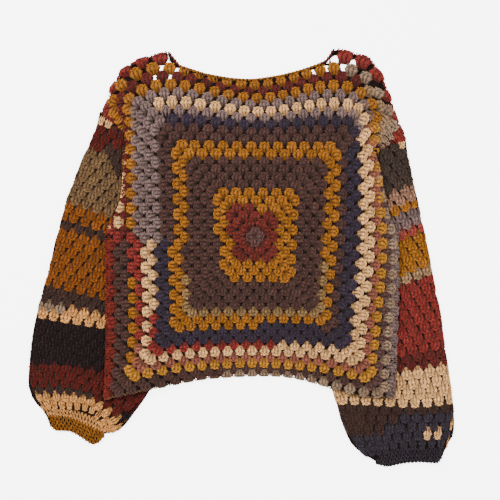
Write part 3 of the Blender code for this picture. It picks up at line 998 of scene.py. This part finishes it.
def sleeveStitches(sleeve):
    rows = sleeve["net"]
    knots = [row.row for row in rows]
    points = np.array([[np.array(point) for point in row[1:]] for row in rows])
    quarters = (0, 1 / 3, 2 / 3, 1)

    def spot(share, row):
        across = [blendAlong(quarters, points[i], share) for i in range(len(rows))]
        return toFrame(blendAlong(knots, np.array(across), row))

    spots = []
    for k in range(knots[-1] + 1):
        width = float(np.linalg.norm(spot(1, k) - spot(0, k)))
        count = sleeve["counts"].get(k, max(1, width / sleeveLook["pitch"]))
        shift = 0.5 * (k % 2) - 0.25  # every other row is half a cluster over
        reach = count / 2 + 0.5
        for i in range(math.ceil(-reach - shift), math.floor(reach - shift) + 1):
            # The last ones of a row turn over the fold and look narrow
            low = max(0.0, 0.5 + (i + shift - 0.5) / count)
            high = min(1.0, 0.5 + (i + shift + 0.5) / count)
            if (high - low) * count < sleeveLook["sliver"]:
                continue
            share, half = (low + high) / 2, (high - low) / 2 * width * sleeveLook["spread"]
            yarn = sleeve["yarns"][k]
            for beyond, other in sleeve["changes"].get(k, []):
                yarn = other if share > beyond else yarn
            # Worked downwards, so the fan opens towards the cuff
            foot, head = spot(share, k - sleeveLook["foot"]), spot(share, k + sleeveLook["head"])
            spots.append((foot, head, half, yarn))
    for place in sleeve.get("spots", []):
        away = []
        for foot, head, half, yarn in spots:
            gap = np.linalg.norm((foot + head) / 2 - toFrame(place))
            away.append(1 if yarn == "cream" else gap)
        closest = int(np.argmin(away))
        spots[closest] = (*spots[closest][:3], "cream")
    return spots


print("stage: sleeves")
for side, sleeve in (("right", sleeveRight), ("left", sleeveLeft)):
    spots = sleeveStitches(sleeve)
    for level in ("upper", "lower"):
        lay(f"sleeve{side.title()}{level.title()}Stitches", cluster, spots, f"sleeve_{side}_{level}")

# Cuffs and edgings: rows of single crochet between two lines
cuffLines = {
    "right": {
        "join": cuffTopRight,
        "edge": [
            (-35.9, -33.0), (-34.9, -33.9), (-32.4, -34.0), (-31.0, -34.7), (-28.4, -36.4),
            (-27.2, -36.0), (-26.3, -34.9),
        ],
        "yarn": ["mustard"],
    },
    "left": {
        "join": cuffTopLeft,
        "edge": [
            (32.7, -38.6), (32.0, -39.6), (28.7, -39.4), (26.0, -39.6), (23.2, -40.2),
            (22.0, -40.0), (21.4, -39.5),
        ],
        "yarn": ["deepNavy"],
    },
}
bandLook = {"rowOverlap": 1.15, "spread": 1.05, "cuffRows": 5}


def bandStitches(startLine, endLine, rows, yarn, begin=0.0, end=1.0):
    # Rows of single crochet laid from one line to the other
    length = float(np.linalg.norm(np.diff(toFrame(startLine), axis=0), axis=1).sum())
    count = max(2, round(length / singleLook["width"]))
    shares = np.linspace(0, 1, count + 1)

    def along(line):
        points = toFrame(line)
        lengths = np.linalg.norm(np.diff(points, axis=0), axis=1)
        marks = np.concatenate(([0], np.cumsum(lengths))) / lengths.sum()
        return np.column_stack([np.interp(shares, marks, points[:, i]) for i in range(2)])

    start, stop = along(startLine), along(endLine)
    spots = []
    for row in range(rows):
        low = begin + (end - begin) * row / rows
        high = begin + (end - begin) * min((row + bandLook["rowOverlap"]) / rows, 1)
        for i in range(count):
            mid = [(line[i] + line[i + 1]) / 2 for line in (start, stop)]
            if row % 2 and i + 2 <= count:
                mid = [line[i + 1] for line in (start, stop)]
            foot = mid[0] + (mid[1] - mid[0]) * low
            head = mid[0] + (mid[1] - mid[0]) * high
            half = float(np.linalg.norm(start[i + 1] - start[i])) / 2 * bandLook["spread"]
            if np.linalg.norm(head - foot) > 1e-4:
                spots.append((foot, head, half, yarn[i % len(yarn)]))
    return spots


print("stage: cuffs and edgings")
for side, cuff in cuffLines.items():
    spots = bandStitches(cuff["join"], cuff["edge"], bandLook["cuffRows"], cuff["yarn"])
    for level in ("upper", "lower"):
        lay(f"cuff{side.title()}{level.title()}Stitches", single, spots, f"cuff_{side}_{level}")

# Rows of single crochet on the pieces themselves: between the last clusters and the cuffs,
# and along the body's hem, sides and shoulders. Each runs from its first line to its second.
Band = namedtuple("Band", "name nodes start end rows yarn")
hemLine = [
    (-26.3, -28.4), (-23.6, -27.8), (-18.2, -26.6), (-14.2, -25.8), (-8.5, -24.7), (0.0, -24.2), (4.9, -24.3),
    (8.8, -25.0), (13.1, -26.4), (18.2, -27.9), (21.4, -28.2), (24.0, -28.1),
]
sideRight = [(-26.2, 0.2), (-26.1, -7.5), (-26.0, -16.3), (-26.2, -21.8), (-26.3, -28.4)]
foldRight = [
    (-22.4, 16.4), (-22.8, 13.5), (-23.2, 7.7), (-24.0, 4.9), (-24.9, 2.7), (-25.7, 1.5), (-26.2, 0.2),
]
sideLeft = [
    (23.2, 4.0), (24.1, 1.9), (24.8, 0.4), (25.0, -7.5), (24.8, -16.3), (24.8, -22.4), (24.5, -25.9),
    (24.0, -28.1),
]


def shifted(line, dx, dy):
    return [(x + dx, y + dy) for x, y in line]


shoulderRight = [
    (-15.5, 32.5), (-18.2, 31.6), (-20.6, 31.0), (-22.1, 30.0), (-23.4, 29.1), (-24.1, 27.6), (-25.2, 26.1),
    (-25.7, 23.9), (-26.9, 21.6),
]
shoulderLeft = [
    (13.9, 33.0), (15.2, 32.8), (17.5, 32.1), (19.4, 31.6), (20.5, 30.9), (22.1, 28.5), (22.9, 26.5),
    (23.9, 23.5), (24.7, 20.7), (25.9, 18.1), (26.0, 16.9),
]
sleeveEnd = ("sleeve_right_upper", "sleeve_right_lower")
lastRow = [
    (-37.7, -29.3), (-35.5, -29.9), (-32.9, -30.0), (-30.5, -30.4), (-28.4, -31.2), (-26.6, -32.2),
    (-24.6, -32.8), (-22.9, -33.0),
]
cuffJoin = [
    (-36.2, -31.3), (-34.4, -31.4), (-32.4, -31.6), (-30.9, -32.2), (-29.6, -32.8), (-28.0, -33.5),
    (-26.2, -34.2), (-24.6, -34.2),
]
bands = [
    Band("hemEdge", body, shifted(hemLine, 0, 0.4), hemLine, 1, ["taupe"]),
    Band("sideRightEdge", body, shifted(sideRight, 1.15, 0), sideRight, 2, ["brick"]),
    Band("foldRightEdge", body, shifted(foldRight, 0.5, 0), foldRight, 1, ["brick", "brick", "cream"]),
    Band("sideLeftEdge", body, shifted(sideLeft, -1.1, 0), sideLeft, 2, ["grey"]),
    Band("shoulderRightEdge", body, shifted(shoulderRight, 0.4, -0.38), shoulderRight, 1, ["red"]),
    Band("shoulderLeftEdge", body, shifted(shoulderLeft, -0.42, -0.3), shoulderLeft, 1, ["red"]),
    Band("sleeveRightEnd", sleeveEnd, lastRow, cuffJoin, 2, ["tan"]),
]
for band in bands:
    spots = bandStitches(band.start, band.end, band.rows, band.yarn)
    for node in band.nodes:
        name = band.name + ("" if facesUp(node) else "Under")
        lay(name, single, spots, node, sweater["bandLift"])

# The neck edging: mustard, and red past mustardHalf (metres) from its middle
neckLook = {"begin": 0.1, "end": 0.9, "middle": -0.6, "mustardHalf": 0.122}


def neckStitches(look):
    middle = toFrame((look["middle"], 0))[0]
    spots = bandStitches(neckInner, neckOuter, 1, ["mustard"], look["begin"], look["end"])
    for i, (foot, head, half, yarn) in enumerate(spots):
        if abs(foot[0] - middle) > look["mustardHalf"]:
            spots[i] = (foot, head, half, "red")
    return spots


for level in ("front", "back"):
    lay(f"neck{level.title()}Stitches", single, neckStitches(neckLook), f"neck_edge_{level}")

flatSizes = {
    "panel": (0.535, 0.620),
    "sleeve": (0.42, 0.56),  # all round, by the length
    "cuff": (0.25, 0.03),
    "neck": (0.33, 0.010),  # each half
}


def assign(piece, nodes=()):
    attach(piece, "root")
    if nodes:
        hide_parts(*nodes)


def declare(ground, plan, flat, slotName, nodes, restsOn):
    # A ground and the stitches on it are attached to the root, and stand for their nodes, which are hidden
    assign(ground, nodes)
    stitches = [piece for node in nodes for piece in laid[node]]
    for piece in stitches:
        assign(piece)
    print("sheet", ground.name, round(plan, 4), flat)


declare(*grounds["front"], flatSizes["panel"], "front", ["front"], ["backGround"])
declare(*grounds["back"], flatSizes["panel"], "back", ["back"], ["floor"])
for side in ("right", "left"):
    for part in ("sleeve", "cuff"):
        nodes = [f"{part}_{side}_upper", f"{part}_{side}_lower"]
        ground, plan = makeGround(f"{part}{side.title()}Ground", nodes, sweater["sleeveInset"])
        declare(ground, plan, flatSizes[part], f"{part}_{side}", nodes, ["floor"])
for level, below in (("front", "neckBackGround"), ("back", "floor")):
    node = f"neck_edge_{level}"
    ground, plan = makeGround(f"neck{level.title()}Ground", [node], sweater["neckInset"])
    declare(ground, plan, flatSizes["neck"], "edging", [node], [below])

# A plain pale table, soft daylight, and the camera straight above
Light = namedtuple("Light", "name place size power")
studio = {
    "tone": (0.93, 0.925, 0.915),
    "glow": 5.0,  # lifts the table to the photo's white without more light on the cloth
    "tableSize": 8,
    "tableDepth": 0.0006,
    "sky": (1.0, 0.99, 0.97),
    "skyPower": 0.80,
    "lights": [
        Light("keyLight", (-0.9, 1.1, 1.9), 1.2, 76),
        Light("fillLight", (1.3, -0.6, 2.0), 1.8, 28),
    ],
    "cameraHeight": 2.6,
    "sensor": 36,  # millimetres
    "frameWidth": 0.875,  # metres across the picture at the table
    "frameMiddle": (0.0153, 0.0128),
}


def makeTable(look):
    bpy.ops.mesh.primitive_plane_add(size=look["tableSize"], location=(0, 0, -look["tableDepth"]))
    floor = bpy.context.object
    floor.name = "floor"
    finish = newFinish("paleTable", {
        "Base Color": (*look["tone"], 1),
        "Roughness": 0.9,
        "Emission Color": (1.0, 1.0, 1.0, 1),
        "Emission Strength": look["glow"],
    })[0]
    floor.data.materials.append(finish)


def makeDaylight(look):
    world = bpy.data.worlds.new("studioWorld")
    world.use_nodes = True
    sky = {"Color": (*look["sky"], 1), "Strength": look["skyPower"]}
    setInputs(world.node_tree.nodes["Background"], sky)
    bpy.context.scene.world = world
    for light in look["lights"]:
        bpy.ops.object.light_add(type="AREA", location=light.place)
        lamp = bpy.context.object
        lamp.name = light.name
        lamp.data.size = light.size
        lamp.data.energy = light.power
        lamp.rotation_euler = (-Vector(light.place)).to_track_quat("-Z", "Y").to_euler()


def makeCamera(look):
    bpy.ops.object.camera_add(location=(*look["frameMiddle"], look["cameraHeight"]), rotation=(0, 0, 0))
    camera = bpy.context.object
    camera.name = "camera"
    camera.data.sensor_width = look["sensor"]
    camera.data.lens = look["sensor"] * look["cameraHeight"] / look["frameWidth"]
    bpy.context.scene.camera = camera


print("stage: studio")
deselectAll()
makeTable(studio)
makeDaylight(studio)
makeCamera(studio)
